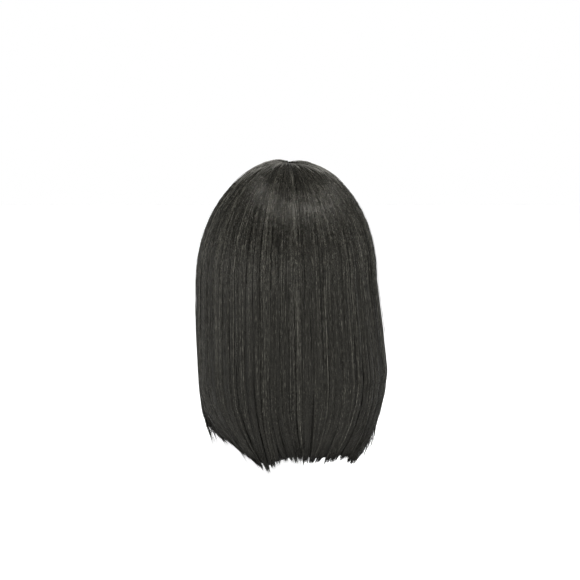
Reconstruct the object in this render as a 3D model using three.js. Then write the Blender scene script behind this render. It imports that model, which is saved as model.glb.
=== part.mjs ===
// A bob wig with a centre parting, in the form that it has when worn.
// Lengths are millimetres. +Z is up, -Y is the way that the wearer faces and +X is the wearer's left.
// The origin is the inside of the cap at the top of the head.
// An azimuth is an angle in degrees round the head: 0 at the back, positive to the left, negative to the right.

import * as THREE from "three";
import { mergeVertices } from "three/addons/utils/BufferGeometryUtils.js";

// The head that the cap fits
const headBreadth = 152;
const headLength = 190;
const craniumRise = 86; // from the widest level of the head up to its top
const craniumFall = 100; // how far below that level the head would round in completely

// Cap
const capWall = 1.2;

// How far the hair stands off the cap
const crownLift = 10.5;
const crownTilt = 1.2; // the left of the crown is this much higher, and the right this much lower
const domeFullness = { left: 1.97, right: 2.08 }; // 2 is an ellipse, and more is squarer
const hairlineLift = 6;
const sideLift = 32.8;
const backLift = 20;
const frontLift = 4;

// Levels, as drops below the top of the head
const widestDrop = 131; // the dome of the crown ends and the straight fall begins
const bendDrop = 240; // the ends start to sweep in
const hairDrop = 336; // the lowest tip

// Crown and parting
const crownSetback = 25; // the whorl lies this far behind the middle of the head
const hairlineSetback = 11; // the parting ends this far behind the front of the head
const whorlRadius = 4;
const partingHalfWidth = 1.2;
const grooveDepth = 2.6; // the hair dips to the parting
const grooveWidth = { left: 5, right: 14 };

// Walls of hair
const fallWall = 16;
const tipWall = 4.5;
const thinnestWall = 2.5;
const frontEdgeShare = 0.45; // the free edge by the face is thinner than the rest
const underLift = 8; // the ends of the under hair are this much shorter
const lockRelief = 2.2; // depth of the furrow between two locks
const lockNotch = 3.5; // the ends of a furrow are this much higher than the tips beside it
const lockSpread = 2.5; // how much the tips differ in length

// Clearances
const pieceGap = 0.35;
const facetSag = 1.0; // the flat facets of a curved wall cut this far inside its true curve

// Azimuths where the pieces meet
const fanAzimuth = 70; // up to here the hair radiates from the whorl, and past it from the parting
const sideAzimuth = 60;
const frontAzimuth = 112;
const faceAzimuth = 130;
const blendStart = 60; // turn of the dome, in degrees, where its inside starts to leave the cap

// Widths of the fall, as shares of the half width or depth of the widest level
const fallSections = [
  { fall: 0.0, left: 0.995, right: 0.965, back: 1.0, front: 1.0 },
  { fall: 0.45, left: 1.003, right: 1.02, back: 0.99, front: 0.995 },
  { fall: 0.9, left: 0.992, right: 1.078, back: 0.965, front: 0.98 },
  { fall: 1.0, left: 0.99, right: 1.082, back: 0.958, front: 0.975 },
];

// Where the ends lie: across and back are shares of the half width and of the depth behind the head,
// and drop is a share of the hair's whole drop. The ends rise over each shoulder and fall again in front.
const leftHem = [
  { azimuth: 0, across: -0.02, back: 0.86, drop: 0.97 },
  { azimuth: 12, across: 0.12, back: 0.858, drop: 0.985 },
  { azimuth: 22, across: 0.205, back: 0.845, drop: 1.0 },
  { azimuth: 34, across: 0.32, back: 0.815, drop: 0.98 },
  { azimuth: 47, across: 0.45, back: 0.76, drop: 0.955 },
  { azimuth: 60, across: 0.6, back: 0.67, drop: 0.93 },
  { azimuth: 72, across: 0.74, back: 0.53, drop: 0.915 },
  { azimuth: 84, across: 0.87, back: 0.32, drop: 0.895 },
  { azimuth: 93, across: 0.95, back: 0.05, drop: 0.86 },
  { azimuth: 102, across: 0.9, back: -0.25, drop: 0.885 },
  { azimuth: 112, across: 0.8, back: -0.5, drop: 0.94 },
  { azimuth: 122, across: 0.7, back: -0.67, drop: 0.975 },
  { azimuth: 130, across: 0.62, back: -0.76, drop: 0.98 },
];
const rightHem = [
  { azimuth: 0, across: 0.02, back: 0.86, drop: 0.97 },
  { azimuth: 12, across: 0.18, back: 0.855, drop: 0.968 },
  { azimuth: 22, across: 0.32, back: 0.84, drop: 0.974 },
  { azimuth: 34, across: 0.45, back: 0.81, drop: 0.97 },
  { azimuth: 47, across: 0.57, back: 0.76, drop: 0.972 },
  { azimuth: 58, across: 0.68, back: 0.69, drop: 0.99 },
  { azimuth: 68, across: 0.785, back: 0.57, drop: 0.968 },
  { azimuth: 80, across: 0.905, back: 0.36, drop: 0.925 },
  { azimuth: 93, across: 0.995, back: 0.03, drop: 0.835 },
  { azimuth: 102, across: 0.95, back: -0.25, drop: 0.885 },
  { azimuth: 112, across: 0.83, back: -0.5, drop: 0.94 },
  { azimuth: 122, across: 0.72, back: -0.67, drop: 0.975 },
  { azimuth: 130, across: 0.63, back: -0.76, drop: 0.98 },
];

// How far the cap's edge turns down from the crown, in degrees, from the nape round the ear to the temple
const capRim = [
  { azimuth: 0, turn: 115 },
  { azimuth: 35, turn: 112 },
  { azimuth: 62, turn: 98 },
  { azimuth: 84, turn: 84 },
  { azimuth: 98, turn: 88 },
  { azimuth: 114, turn: 80 },
  { azimuth: 130, turn: 62 },
];

// Grids
const domeSteps = 11;
const domeCrowding = 1.35; // over 1, the rows of the dome crowd towards the parting
const fallSteps = 3;
const sweepSteps = 4;
const sweepPower = 1.9; // how late the ends turn in
const stepsPerLock = 3;
const capColumns = 36;
const capRows = 9;
const backLocks = 14;
const sideLocks = 6;
const frontLocks = 3;
const lockJitter = 0.22; // how much the locks differ in width
const lockPhase = 2.4; // radians between one lock and the next in their irregularity

const degrees = Math.PI / 180;
const { lerp, clamp, smoothstep } = THREE.MathUtils;
const halfWidth = headBreadth / 2 + capWall + sideLift;
const backDepth = headLength / 2 + capWall + backLift;
const frontDepth = headLength / 2 + capWall + frontLift;
const seatGap = pieceGap + facetSag;

// A smooth curve through one column of a table, read at a value of its key.
function readTable(table, key, column, at) {
  const last = table.length - 2;
  const found = table.findIndex((row, i) => i <= last && at <= table[i + 1][key]);
  const i = found < 0 ? last : found;
  const span = table[i + 1][key] - table[i][key];
  const slope = (a, b) => (table[b][column] - table[a][column]) / (table[b][key] - table[a][key]);
  const start = slope(Math.max(i - 1, 0), i + 1);
  const end = slope(i, Math.min(i + 2, table.length - 1));
  const t = clamp((at - table[i][key]) / span, 0, 1);
  return (
    (2 * t ** 3 - 3 * t ** 2 + 1) * table[i][column] +
    (t ** 3 - 2 * t ** 2 + t) * span * start +
    (3 * t ** 2 - 2 * t ** 3) * table[i + 1][column] +
    (t ** 3 - t ** 2) * span * end
  );
}

// The point inside the head that a wall's thickness is measured towards, for a point of the hair or the cap.
function headCore(point) {
  return new THREE.Vector3(0, 0, Math.min(point.z, -craniumRise));
}

// How far the head reaches from its core in a direction, with its surface moved out by extra.
function headReach(core, direction, extra) {
  const across = Math.hypot(
    direction.x / (headBreadth / 2 + extra),
    direction.y / (headLength / 2 + extra),
  );
  const level = core.z + craniumRise;
  if (level < 0) {
    return Math.sqrt(Math.max(0, 1 - (level / (craniumFall + extra)) ** 2)) / across;
  }
  const height = direction.z > 0 ? craniumRise : craniumFall;
  return 1 / Math.hypot(across, direction.z / (height + extra));
}

// How far along the parting a strand leaves it: 0 at the whorl and 1 at the hairline.
function partingShare(azimuth) {
  return clamp((Math.abs(azimuth) - fanAzimuth) / (faceAzimuth - fanAzimuth), 0, 1);
}

// The point of the cap's outer face on the line of the parting at y.
function scalpPoint(y) {
  const bow = Math.sqrt(1 - (y / (headLength / 2 + capWall)) ** 2);
  return new THREE.Vector3(0, y, (craniumRise + capWall) * bow - craniumRise);
}

// How far an azimuth is to the left: 0 at the right ear, 0.5 at the back and 1 at the left ear.
function leftness(azimuth) {
  return (1 + Math.sin(azimuth * degrees)) / 2;
}

// Where a strand leaves the whorl or the parting, with the hair's lift there.
function rootPoint(azimuth) {
  const side = Math.sign(azimuth);
  const fan = side * Math.min(Math.abs(azimuth), fanAzimuth) * degrees;
  const share = partingShare(azimuth);
  const fanX = whorlRadius * Math.sin(fan);
  const fanY = crownSetback + whorlRadius * Math.cos(fan);
  const root = scalpPoint(lerp(fanY, hairlineSetback - headLength / 2, share));
  root.x = lerp(fanX, side * partingHalfWidth, smoothstep(share, 0, 0.25));
  root.z += lerp(crownLift + crownTilt * Math.sin(fan), hairlineLift, share ** 2);
  return root;
}

// The outer ring of the hair at a drop between the widest level and the bend.
function ringPoint(azimuth, drop) {
  const fall = (drop - widestDrop) / (bendDrop - widestDrop);
  const side = azimuth < 0 ? "right" : "left";
  const behind = Math.abs(azimuth) <= 90;
  const depth = behind ? backDepth : frontDepth;
  return new THREE.Vector3(
    halfWidth * readTable(fallSections, "fall", side, fall) * Math.sin(azimuth * degrees),
    depth * readTable(fallSections, "fall", behind ? "back" : "front", fall) * Math.cos(azimuth * degrees),
    -drop,
  );
}

// Where the strand at this azimuth ends.
function hemPoint(azimuth) {
  const table = azimuth < 0 ? rightHem : leftHem;
  const side = azimuth < 0 ? -1 : 1;
  const at = Math.abs(azimuth);
  return new THREE.Vector3(
    side * halfWidth * readTable(table, "azimuth", "across", at),
    backDepth * readTable(table, "azimuth", "back", at),
    -hairDrop * readTable(table, "azimuth", "drop", at),
  );
}

// A quarter of an ellipse from a root over the dome to the widest ring. Past 90 degrees it turns in below.
function domePoint(azimuth, turn, root) {
  const ring = ringPoint(azimuth, widestDrop);
  const power = 2 / lerp(domeFullness.right, domeFullness.left, leftness(azimuth));
  const out = Math.sin(turn * degrees) ** power;
  const up = Math.sign(90 - turn) * Math.abs(Math.cos(turn * degrees)) ** power;
  return new THREE.Vector3(
    lerp(root.x, ring.x, out),
    lerp(root.y, ring.y, out),
    lerp(ring.z, root.z, up),
  );
}

// A point moved towards the head's core.
function movedIn(point, distance) {
  const core = headCore(point);
  return point.clone().lerp(core, distance / point.distanceTo(core));
}

// The room between a point and the head's surface, with that surface moved out by extra.
function roomToHead(point, extra) {
  const core = headCore(point);
  const direction = point.clone().sub(core).normalize();
  return point.distanceTo(core) - headReach(core, direction, extra);
}

// The rows of a wall of hair, from its root to its ends. Along is the share of the way down.
function hairRows() {
  const rows = [];
  for (let i = 0; i <= domeSteps; i++) {
    rows.push({ stage: "dome", share: (i / domeSteps) ** domeCrowding });
  }
  for (let i = 1; i <= fallSteps; i++) {
    rows.push({ stage: "fall", share: i / fallSteps });
  }
  for (let i = 1; i <= sweepSteps; i++) {
    rows.push({ stage: "sweep", share: i / sweepSteps });
  }
  return rows.map((row, i) => ({ ...row, along: i / (rows.length - 1) }));
}

// A point of the smooth outer face of the hair. Lengthen moves only the end down.
function outerFace(azimuth, row, lengthen = 0) {
  if (row.stage === "fall") {
    return ringPoint(azimuth, lerp(widestDrop, bendDrop, row.share));
  }
  if (row.stage === "sweep") {
    const ring = ringPoint(azimuth, bendDrop);
    const hem = hemPoint(azimuth);
    const swept = row.share ** sweepPower;
    return new THREE.Vector3(
      lerp(ring.x, hem.x, swept),
      lerp(ring.y, hem.y, swept),
      lerp(ring.z, hem.z, row.share) - lengthen * row.share ** 4,
    );
  }
  const root = rootPoint(azimuth);
  const point = domePoint(azimuth, 90 * row.share, root);
  const fromRoot = Math.hypot(point.x - root.x, point.y - root.y);
  const width = lerp(grooveWidth.right, grooveWidth.left, leftness(azimuth));
  const dip = grooveDepth * Math.exp(-((fromRoot / width) ** 2));
  const spare = roomToHead(point, capWall + seatGap + thinnestWall);
  return movedIn(point, Math.min(dip, spare));
}

// How thick the outer hair is behind a point of its smooth outer face.
function wallAt(azimuth, row, point) {
  const edge = smoothstep(faceAzimuth - Math.abs(azimuth), 0, faceAzimuth - frontAzimuth);
  const slim = lerp(frontEdgeShare, 1, edge);
  if (row.stage === "sweep") {
    return lerp(fallWall * slim, tipWall, row.share);
  }
  if (row.stage === "fall") {
    return fallWall * slim;
  }
  const room = roomToHead(point, capWall + seatGap);
  const blend = smoothstep(90 * row.share, blendStart, 90);
  return Math.min(room, lerp(room, fallWall, blend) * lerp(1, slim, row.share));
}

// The inner face of the outer hair.
function innerFace(azimuth, row) {
  const point = outerFace(azimuth, row);
  return movedIn(point, wallAt(azimuth, row, point));
}

// A closed wall between two grids of points, each a list of columns. An open root leaves out the strip
// along the first row, for a sheet whose two halves meet there.
function closedWall(outer, inner, openRoot = false) {
  const points = [];
  const quad = (a, b, c, d) => points.push(a, c, b, a, d, c);
  const lastColumn = outer.length - 1;
  const lastRow = outer[0].length - 1;
  for (let i = 0; i < lastColumn; i++) {
    for (let j = 0; j < lastRow; j++) {
      quad(outer[i][j], outer[i][j + 1], outer[i + 1][j + 1], outer[i + 1][j]);
      quad(inner[i][j], inner[i + 1][j], inner[i + 1][j + 1], inner[i][j + 1]);
    }
    quad(outer[i][lastRow], inner[i][lastRow], inner[i + 1][lastRow], outer[i + 1][lastRow]);
    if (!openRoot) {
      quad(outer[i][0], outer[i + 1][0], inner[i + 1][0], inner[i][0]);
    }
  }
  for (let j = 0; j < lastRow; j++) {
    quad(outer[0][j], inner[0][j], inner[0][j + 1], outer[0][j + 1]);
    quad(outer[lastColumn][j], outer[lastColumn][j + 1], inner[lastColumn][j + 1], inner[lastColumn][j]);
  }
  return weldedGeometry(points);
}

// An indexed geometry from a list of triangle corners, without the triangles that have no width.
function weldedGeometry(points) {
  const loose = new THREE.BufferGeometry().setFromPoints(points);
  const welded = mergeVertices(loose, 1e-4);
  const index = [];
  for (let i = 0; i < welded.index.count; i += 3) {
    const [a, b, c] = [0, 1, 2].map((k) => welded.index.getX(i + k));
    if (a !== b && b !== c && c !== a) {
      index.push(a, b, c);
    }
  }
  welded.setIndex(index);
  welded.computeVertexNormals();
  return welded;
}

// The columns of a piece of hair: where each lies, how deep its furrow is and how far its end hangs down.
function lockColumns(from, to, locks) {
  const edgeOf = (i) => {
    const jitter = i > 0 && i < locks ? lockJitter * Math.sin(i * lockPhase) : 0;
    return lerp(from, to, (i + jitter) / locks);
  };
  const columns = [];
  for (let i = 0; i < locks; i++) {
    for (let k = 0; k < stepsPerLock; k++) {
      const furrow = k === 0;
      columns.push({
        azimuth: lerp(edgeOf(i), edgeOf(i + 1), k / stepsPerLock),
        relief: furrow ? lockRelief * (0.75 + 0.25 * Math.cos(i * lockPhase)) : 0,
        lengthen: furrow ? -lockNotch : lockSpread * Math.sin(i * lockPhase + k),
      });
    }
  }
  columns.push({ azimuth: to, relief: lockRelief, lengthen: -lockNotch });
  return columns;
}

// Half a piece gap sideways for each row, which keeps two neighbours apart along the seam that they share.
function seamShifts(faces, towards) {
  return faces.map((face, j) => {
    const above = faces[Math.max(j - 1, 0)];
    const below = faces[Math.min(j + 1, faces.length - 1)];
    const across = below.clone().sub(above).cross(headCore(face).sub(face));
    return across.setLength(0.5 * pieceGap * towards);
  });
}

// A piece of the outer hair between two azimuths.
function outerHair(from, to, locks) {
  const rows = hairRows();
  const outer = [];
  const inner = [];
  for (const column of lockColumns(from, to, locks)) {
    const { azimuth, relief, lengthen } = column;
    const faces = rows.map((row) => outerFace(azimuth, row, lengthen));
    const walls = rows.map((row, j) => wallAt(azimuth, row, faces[j]));
    const towards = azimuth === from ? -1 : azimuth === to ? 1 : 0;
    const shifts = seamShifts(faces, towards);
    const furrow = (j) => Math.min(relief * rows[j].along, Math.max(0, walls[j] - thinnestWall));
    outer.push(faces.map((face, j) => movedIn(face, furrow(j)).add(shifts[j])));
    inner.push(faces.map((face, j) => movedIn(face, walls[j]).add(shifts[j])));
  }
  return closedWall(outer, inner);
}

// A point of the cap, from the crown (share 0) to its edge (share 1), with the head's surface moved out by extra.
function capPoint(azimuth, share, extra) {
  const root = scalpPoint(lerp(crownSetback, hairlineSetback - headLength / 2, partingShare(azimuth)));
  const turn = share * readTable(capRim, "azimuth", "turn", Math.abs(azimuth));
  const core = new THREE.Vector3(0, 0, -craniumRise);
  const direction = domePoint(azimuth, turn, root).sub(core).normalize();
  return core.addScaledVector(direction, headReach(core, direction, extra));
}

function cap() {
  const face = (extra) =>
    Array.from({ length: capColumns + 1 }, (_, i) => {
      const azimuth = lerp(-faceAzimuth, faceAzimuth, i / capColumns);
      return Array.from({ length: capRows + 1 }, (_, j) => capPoint(azimuth, j / capRows, extra));
    });
  return closedWall(face(capWall), face(0), true);
}

// The under hair lies against the inside of the outer hair, hangs from the cap's edge and ends a little higher.
function underHair() {
  const columns = [
    ...lockColumns(-frontAzimuth, -sideAzimuth, sideLocks).slice(0, -1),
    ...lockColumns(-sideAzimuth, sideAzimuth, backLocks).slice(0, -1),
    ...lockColumns(sideAzimuth, frontAzimuth, sideLocks),
  ];
  const outer = [];
  const inner = [];
  for (const { azimuth } of columns) {
    const sweepShare = 1 - underLift / (-bendDrop - hemPoint(azimuth).z);
    const rows = hairRows().slice(domeSteps - 1);
    const faces = rows.map((row) => {
      const shorter = row.stage === "sweep" ? { ...row, share: row.share * sweepShare } : row;
      return movedIn(innerFace(azimuth, shorter), seatGap);
    });
    const rimLevel = capPoint(azimuth, 1, 0).z;
    const hemLevel = faces[faces.length - 1].z;
    const atRim = faces.findLast((point) => point.z >= rimLevel) ?? faces[0];
    const roomAtRim = roomToHead(atRim, capWall + seatGap);
    outer.push(faces);
    inner.push(
      faces.map((point) => {
        const hanging = clamp((rimLevel - point.z) / (rimLevel - hemLevel), 0, 1);
        const room = point.z >= rimLevel ? roomToHead(point, capWall + seatGap) : roomAtRim;
        return movedIn(point, lerp(room, tipWall, hanging));
      }),
    );
  }
  return closedWall(outer, inner);
}

const hairMaterial = new THREE.MeshStandardMaterial({ color: 0x2a2927, roughness: 0.45, metalness: 0 });
const underMaterial = new THREE.MeshStandardMaterial({ color: 0x1c1b1a, roughness: 0.6, metalness: 0 });
const capMaterial = new THREE.MeshStandardMaterial({ color: 0x15140f, roughness: 0.85, metalness: 0 });

function piece(name, geometry, material) {
  const mesh = new THREE.Mesh(geometry, material);
  mesh.name = name;
  return mesh;
}

const wig = new THREE.Group();
wig.add(
  piece("cap", cap(), capMaterial),
  piece("under_hair", underHair(), underMaterial),
  piece("back_hair", outerHair(-sideAzimuth, sideAzimuth, backLocks), hairMaterial),
  piece("left_side_hair", outerHair(sideAzimuth, frontAzimuth, sideLocks), hairMaterial),
  piece("left_front_hair", outerHair(frontAzimuth, faceAzimuth, frontLocks), hairMaterial),
  piece("right_side_hair", outerHair(-frontAzimuth, -sideAzimuth, sideLocks), hairMaterial),
  piece("right_front_hair", outerHair(-faceAzimuth, -frontAzimuth, frontLocks), hairMaterial),
);

export default wig;
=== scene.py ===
"""A bob wig with a centre parting, dressed with strands of hair.

Lengths are metres. +Z is up, -Y is the way that the wearer faces and +X is the wearer's left.
An azimuth is in degrees round the head: 0 at the back, positive to the left, negative to the right.
A station says how far down a strand a point is: 0 at the root, 1 at the widest level, 2 at the bend
and 3 at the end.
"""

import math

import bmesh
import bpy
import numpy as np
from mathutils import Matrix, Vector


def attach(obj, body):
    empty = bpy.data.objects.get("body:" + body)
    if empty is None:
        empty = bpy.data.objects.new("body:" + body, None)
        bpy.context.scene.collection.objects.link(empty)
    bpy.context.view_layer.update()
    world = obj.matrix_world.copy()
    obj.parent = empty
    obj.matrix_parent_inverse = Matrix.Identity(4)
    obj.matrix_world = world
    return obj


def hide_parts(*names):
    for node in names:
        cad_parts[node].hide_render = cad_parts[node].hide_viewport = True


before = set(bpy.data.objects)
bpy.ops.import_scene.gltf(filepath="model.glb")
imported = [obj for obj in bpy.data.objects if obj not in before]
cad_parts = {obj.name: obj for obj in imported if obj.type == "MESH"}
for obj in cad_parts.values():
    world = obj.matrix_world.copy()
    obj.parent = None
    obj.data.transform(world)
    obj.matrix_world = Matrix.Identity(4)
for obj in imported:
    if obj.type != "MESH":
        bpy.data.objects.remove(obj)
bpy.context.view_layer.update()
rng = np.random.default_rng(12)

MM = 0.001

# The head and the cap on it
HEAD_HALF = np.array([76.0, 95.0, 86.0]) * MM
CRANIUM_FALL = 100 * MM
CAP_WALL = 1.2 * MM

# The dome of hair over the cap
CROWN_LIFT = 10.5 * MM
CROWN_TILT = 0.6 * MM
HAIRLINE_LIFT = 6 * MM
SIDE_LIFT = 32.8 * MM
BACK_LIFT = 20 * MM
FRONT_LIFT = 4 * MM
FULLNESS_RIGHT, FULLNESS_LEFT = 2.08, 1.97

# Levels below the top of the head
WIDEST_DROP = 131 * MM
BEND_DROP = 240 * MM
HAIR_DROP = 336 * MM

# Crown and parting
CROWN_SETBACK = 25 * MM
HAIRLINE_SETBACK = 11 * MM
WHORL_RADIUS = 1.2 * MM  # strands close the hole in the whorl and the slot of the parting
PARTING_HALF_WIDTH = 0.1 * MM
GROOVE_DEPTH = 1.4 * MM
GROOVE_RIGHT, GROOVE_LEFT = 14 * MM, 7 * MM

# Walls of hair
FALL_WALL = 16 * MM
TIP_WALL = 4.5 * MM
SEAT_GAP = 1.35 * MM
FRONT_EDGE_SHARE = 0.45
UNDER_LIFT = 8 * MM
SWEEP_POWER = 1.9

# Azimuths
FAN = 70  # roots lie round the whorl up to here, and along the parting past it
SIDE = 60  # where the back hair and the side hair meet
FRONT = 112  # where the side hair and the front hair meet
FACE = 130  # the free edge by the face

BLEND_START = 60  # degrees down the dome from which the hair leaves the cap
WHORL_FADE = 0.25  # the share of the parting over which the whorl narrows to it

HALF_WIDTH = HEAD_HALF[0] + CAP_WALL + SIDE_LIFT
BACK_DEPTH = HEAD_HALF[1] + CAP_WALL + BACK_LIFT
FRONT_DEPTH = HEAD_HALF[1] + CAP_WALL + FRONT_LIFT

# Widths of the fall, as shares of the widest level: down (0 there, 1 at the bend), left, right, back, front
FALL = np.array([
    (0.0, 0.995, 0.965, 1.0, 1.0),
    (0.45, 1.003, 1.028, 0.99, 0.995),
    (0.9, 0.992, 1.088, 0.965, 0.98),
    (1.0, 0.99, 1.092, 0.958, 0.975),
])

# Where the ends lie, as shares of the half width, the depth and the drop: azimuth, across, back, drop
LEFT_HEM = np.array([
    (0, -0.02, 0.86, 0.97),
    (12, 0.12, 0.858, 0.985),
    (22, 0.205, 0.845, 1.0),
    (34, 0.32, 0.815, 0.98),
    (47, 0.45, 0.76, 0.955),
    (60, 0.6, 0.67, 0.93),
    (72, 0.74, 0.53, 0.915),
    (84, 0.87, 0.32, 0.895),
    (93, 0.95, 0.05, 0.86),
    (102, 0.9, -0.25, 0.885),
    (112, 0.8, -0.5, 0.94),
    (122, 0.7, -0.67, 0.975),
    (130, 0.62, -0.76, 0.98),
])
RIGHT_HEM = np.array([
    (0, 0.02, 0.86, 0.97),
    (12, 0.18, 0.855, 0.968),
    (22, 0.32, 0.84, 0.974),
    (34, 0.45, 0.81, 0.97),
    (47, 0.57, 0.76, 0.972),
    (58, 0.68, 0.69, 0.99),
    (68, 0.785, 0.57, 0.968),
    (80, 0.905, 0.36, 0.925),
    (93, 0.995, 0.03, 0.835),
    (102, 0.95, -0.25, 0.885),
    (112, 0.83, -0.5, 0.94),
    (122, 0.72, -0.67, 0.975),
    (130, 0.63, -0.76, 0.98),
])

# How far the cap's edge turns down from the crown: azimuth, degrees
CAP_RIM = np.array([(0, 115), (35, 112), (62, 98), (84, 84), (98, 88), (114, 80), (130, 62)])

# Strands drift sideways in the sweep and gather in two points: azimuth, azimuth of the end
LEFT_DRIFT = np.array([
    (0, -8),
    (10, 4),
    (22, 21),
    (40, 30),
    (60, 37),
    (78, 46),
    (84, 54),
    (90, 67),
    (95, 85),
    (99, 98),
    (112, 114),
    (130, 129),
])
RIGHT_DRIFT = np.array([
    (0, 8),
    (15, 15),
    (30, 23),
    (45, 39),
    (60, 56),
    (78, 63),
    (84, 67),
    (90, 75),
    (95, 88),
    (99, 98),
    (112, 114),
    (130, 129),
])
DRIFT_POWER = 3.0  # how late in the sweep they drift
HUG_POWER = 1.5  # strands that drift far fall early, so that they follow the edge of the others
HUG_DRIFT = 35  # degrees of drift at which they do so in full


def read_table(table, column, at):
    """A smooth curve through one column of a table, read at values of its first column."""
    keys, values = table[:, 0].astype(float), table[:, column].astype(float)
    last = len(keys) - 1
    below, above = np.maximum(np.arange(last + 1) - 1, 0), np.minimum(np.arange(last + 1) + 1, last)
    slopes = (values[above] - values[below]) / (keys[above] - keys[below])
    i = np.clip(np.searchsorted(keys, at) - 1, 0, last - 1)
    span = keys[i + 1] - keys[i]
    t = np.clip((at - keys[i]) / span, 0, 1)
    return (
        (2 * t**3 - 3 * t**2 + 1) * values[i]
        + (t**3 - 2 * t**2 + t) * span * slopes[i]
        + (3 * t**2 - 2 * t**3) * values[i + 1]
        + (t**3 - t**2) * span * slopes[i + 1]
    )


def smoothstep(value, low, high):
    t = np.clip((value - low) / (high - low), 0, 1)
    return t * t * (3 - 2 * t)


def lerp(a, b, t):
    return a + (b - a) * t


def stacked(x, y, z):
    return np.stack(np.broadcast_arrays(x, y, z), axis=-1)


def leftness(azimuth):
    """0 at the right ear, 0.5 at the back and 1 at the left ear."""
    return (1 + np.sin(np.radians(azimuth))) / 2


def head_core(points):
    """The points inside the head that depths are measured towards."""
    level = np.minimum(points[..., 2], -HEAD_HALF[2])
    return stacked(0, 0, level)


def moved_in(points, distance):
    inward = head_core(points) - points
    return points + inward * (distance / np.linalg.norm(inward, axis=-1))[..., None]


def room_to_head(points, extra):
    """The room between points and the head's surface, with that surface moved out by extra."""
    core = head_core(points)
    outward = points - core
    length = np.linalg.norm(outward, axis=-1)
    direction = outward / length[..., None]
    across = np.hypot(direction[..., 0] / (HEAD_HALF[0] + extra), direction[..., 1] / (HEAD_HALF[1] + extra))
    level = core[..., 2] + HEAD_HALF[2]
    low = np.sqrt(np.maximum(0, 1 - (level / (CRANIUM_FALL + extra)) ** 2)) / across
    high = 1 / np.hypot(across, np.maximum(direction[..., 2], 0) / (HEAD_HALF[2] + extra))
    return length - np.where(level < 0, low, high)


def parting_share(azimuth):
    """How far along the parting a root lies: 0 at the whorl and 1 at the hairline."""
    return np.clip((abs(azimuth) - FAN) / (FACE - FAN), 0, 1)


def cap_top(y):
    """The height of the cap over the middle of the head."""
    bow = np.sqrt(1 - (y / (HEAD_HALF[1] + CAP_WALL)) ** 2)
    return (HEAD_HALF[2] + CAP_WALL) * bow - HEAD_HALF[2]


def root_points(azimuth):
    """Where strands leave the whorl or the parting."""
    side = np.sign(azimuth)
    fan = np.radians(side * np.minimum(abs(azimuth), FAN))
    share = parting_share(azimuth)
    y = lerp(CROWN_SETBACK + WHORL_RADIUS * np.cos(fan), HAIRLINE_SETBACK - HEAD_HALF[1], share)
    lift = lerp(CROWN_LIFT + CROWN_TILT * np.sin(fan), HAIRLINE_LIFT, share**2)
    x = lerp(WHORL_RADIUS * np.sin(fan), side * PARTING_HALF_WIDTH, smoothstep(share, 0, WHORL_FADE))
    return stacked(x, y, cap_top(y) + lift)


def ring_points(azimuth, drop):
    """The outer ring of the hair at a drop between the widest level and the bend."""
    down = (drop - WIDEST_DROP) / (BEND_DROP - WIDEST_DROP)
    turn = np.radians(azimuth)
    half = HALF_WIDTH * np.where(azimuth < 0, read_table(FALL, 2, down), read_table(FALL, 1, down))
    behind = BACK_DEPTH * read_table(FALL, 3, down)
    before = FRONT_DEPTH * read_table(FALL, 4, down)
    depth = np.where(abs(azimuth) <= 90, behind, before)
    return stacked(half * np.sin(turn), depth * np.cos(turn), -drop)


def hem_points(azimuth):
    """Where the strands at an azimuth end."""
    at = abs(azimuth)
    across, back, drop = (
        np.where(azimuth < 0, read_table(RIGHT_HEM, column, at), read_table(LEFT_HEM, column, at))
        for column in (1, 2, 3)
    )
    return stacked(np.sign(azimuth) * HALF_WIDTH * across, BACK_DEPTH * back, -HAIR_DROP * drop)


def dome_between(root, ring, azimuth, turn):
    """The dome from roots to the widest level. A turn is 0 at the root and a right angle at that level."""
    power = 2 / lerp(FULLNESS_RIGHT, FULLNESS_LEFT, leftness(azimuth))
    out = np.sin(turn) ** power
    up = np.sign(np.cos(turn)) * abs(np.cos(turn)) ** power
    return stacked(
        lerp(root[..., 0], ring[..., 0], out),
        lerp(root[..., 1], ring[..., 1], out),
        lerp(ring[..., 2], root[..., 2], up),
    )


def outer_face(azimuth, station):
    """The smooth outer face of the hair at azimuths and stations."""
    azimuth, station = np.broadcast_arrays(azimuth, station)
    root = root_points(azimuth)
    ring = ring_points(azimuth, WIDEST_DROP)
    dome = dome_between(root, ring, azimuth, np.radians(90 * np.clip(station, 0, 1)))
    from_root = np.linalg.norm((dome - root)[..., :2], axis=-1)
    width = lerp(GROOVE_RIGHT, GROOVE_LEFT, leftness(azimuth))
    dome = moved_in(dome, GROOVE_DEPTH * np.exp(-((from_root / width) ** 2)))
    fall = ring_points(azimuth, lerp(WIDEST_DROP, BEND_DROP, np.clip(station - 1, 0, 1)))
    sweep = np.maximum(station - 2, 0)
    bend = ring_points(azimuth, BEND_DROP)
    hem = hem_points(azimuth)
    swept = lerp(bend, hem, (sweep**SWEEP_POWER)[..., None])
    swept[..., 2] = lerp(bend[..., 2], hem[..., 2], sweep)
    return np.where((station <= 1)[..., None], dome, np.where((station <= 2)[..., None], fall, swept))


def wall_at(azimuth, station, points):
    """How thick the hair is behind points of its outer face."""
    slim = lerp(FRONT_EDGE_SHARE, 1, smoothstep(FACE - abs(azimuth), 0, FACE - FRONT))
    room = room_to_head(points, CAP_WALL + SEAT_GAP)
    blend = smoothstep(90 * station, BLEND_START, 90)
    dome = np.minimum(room, lerp(room, FALL_WALL, blend) * lerp(1, slim, np.clip(station, 0, 1)))
    low = lerp(FALL_WALL * slim, TIP_WALL, np.clip(station - 2, 0, 1))
    return np.where(station <= 1, dome, low)


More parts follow.
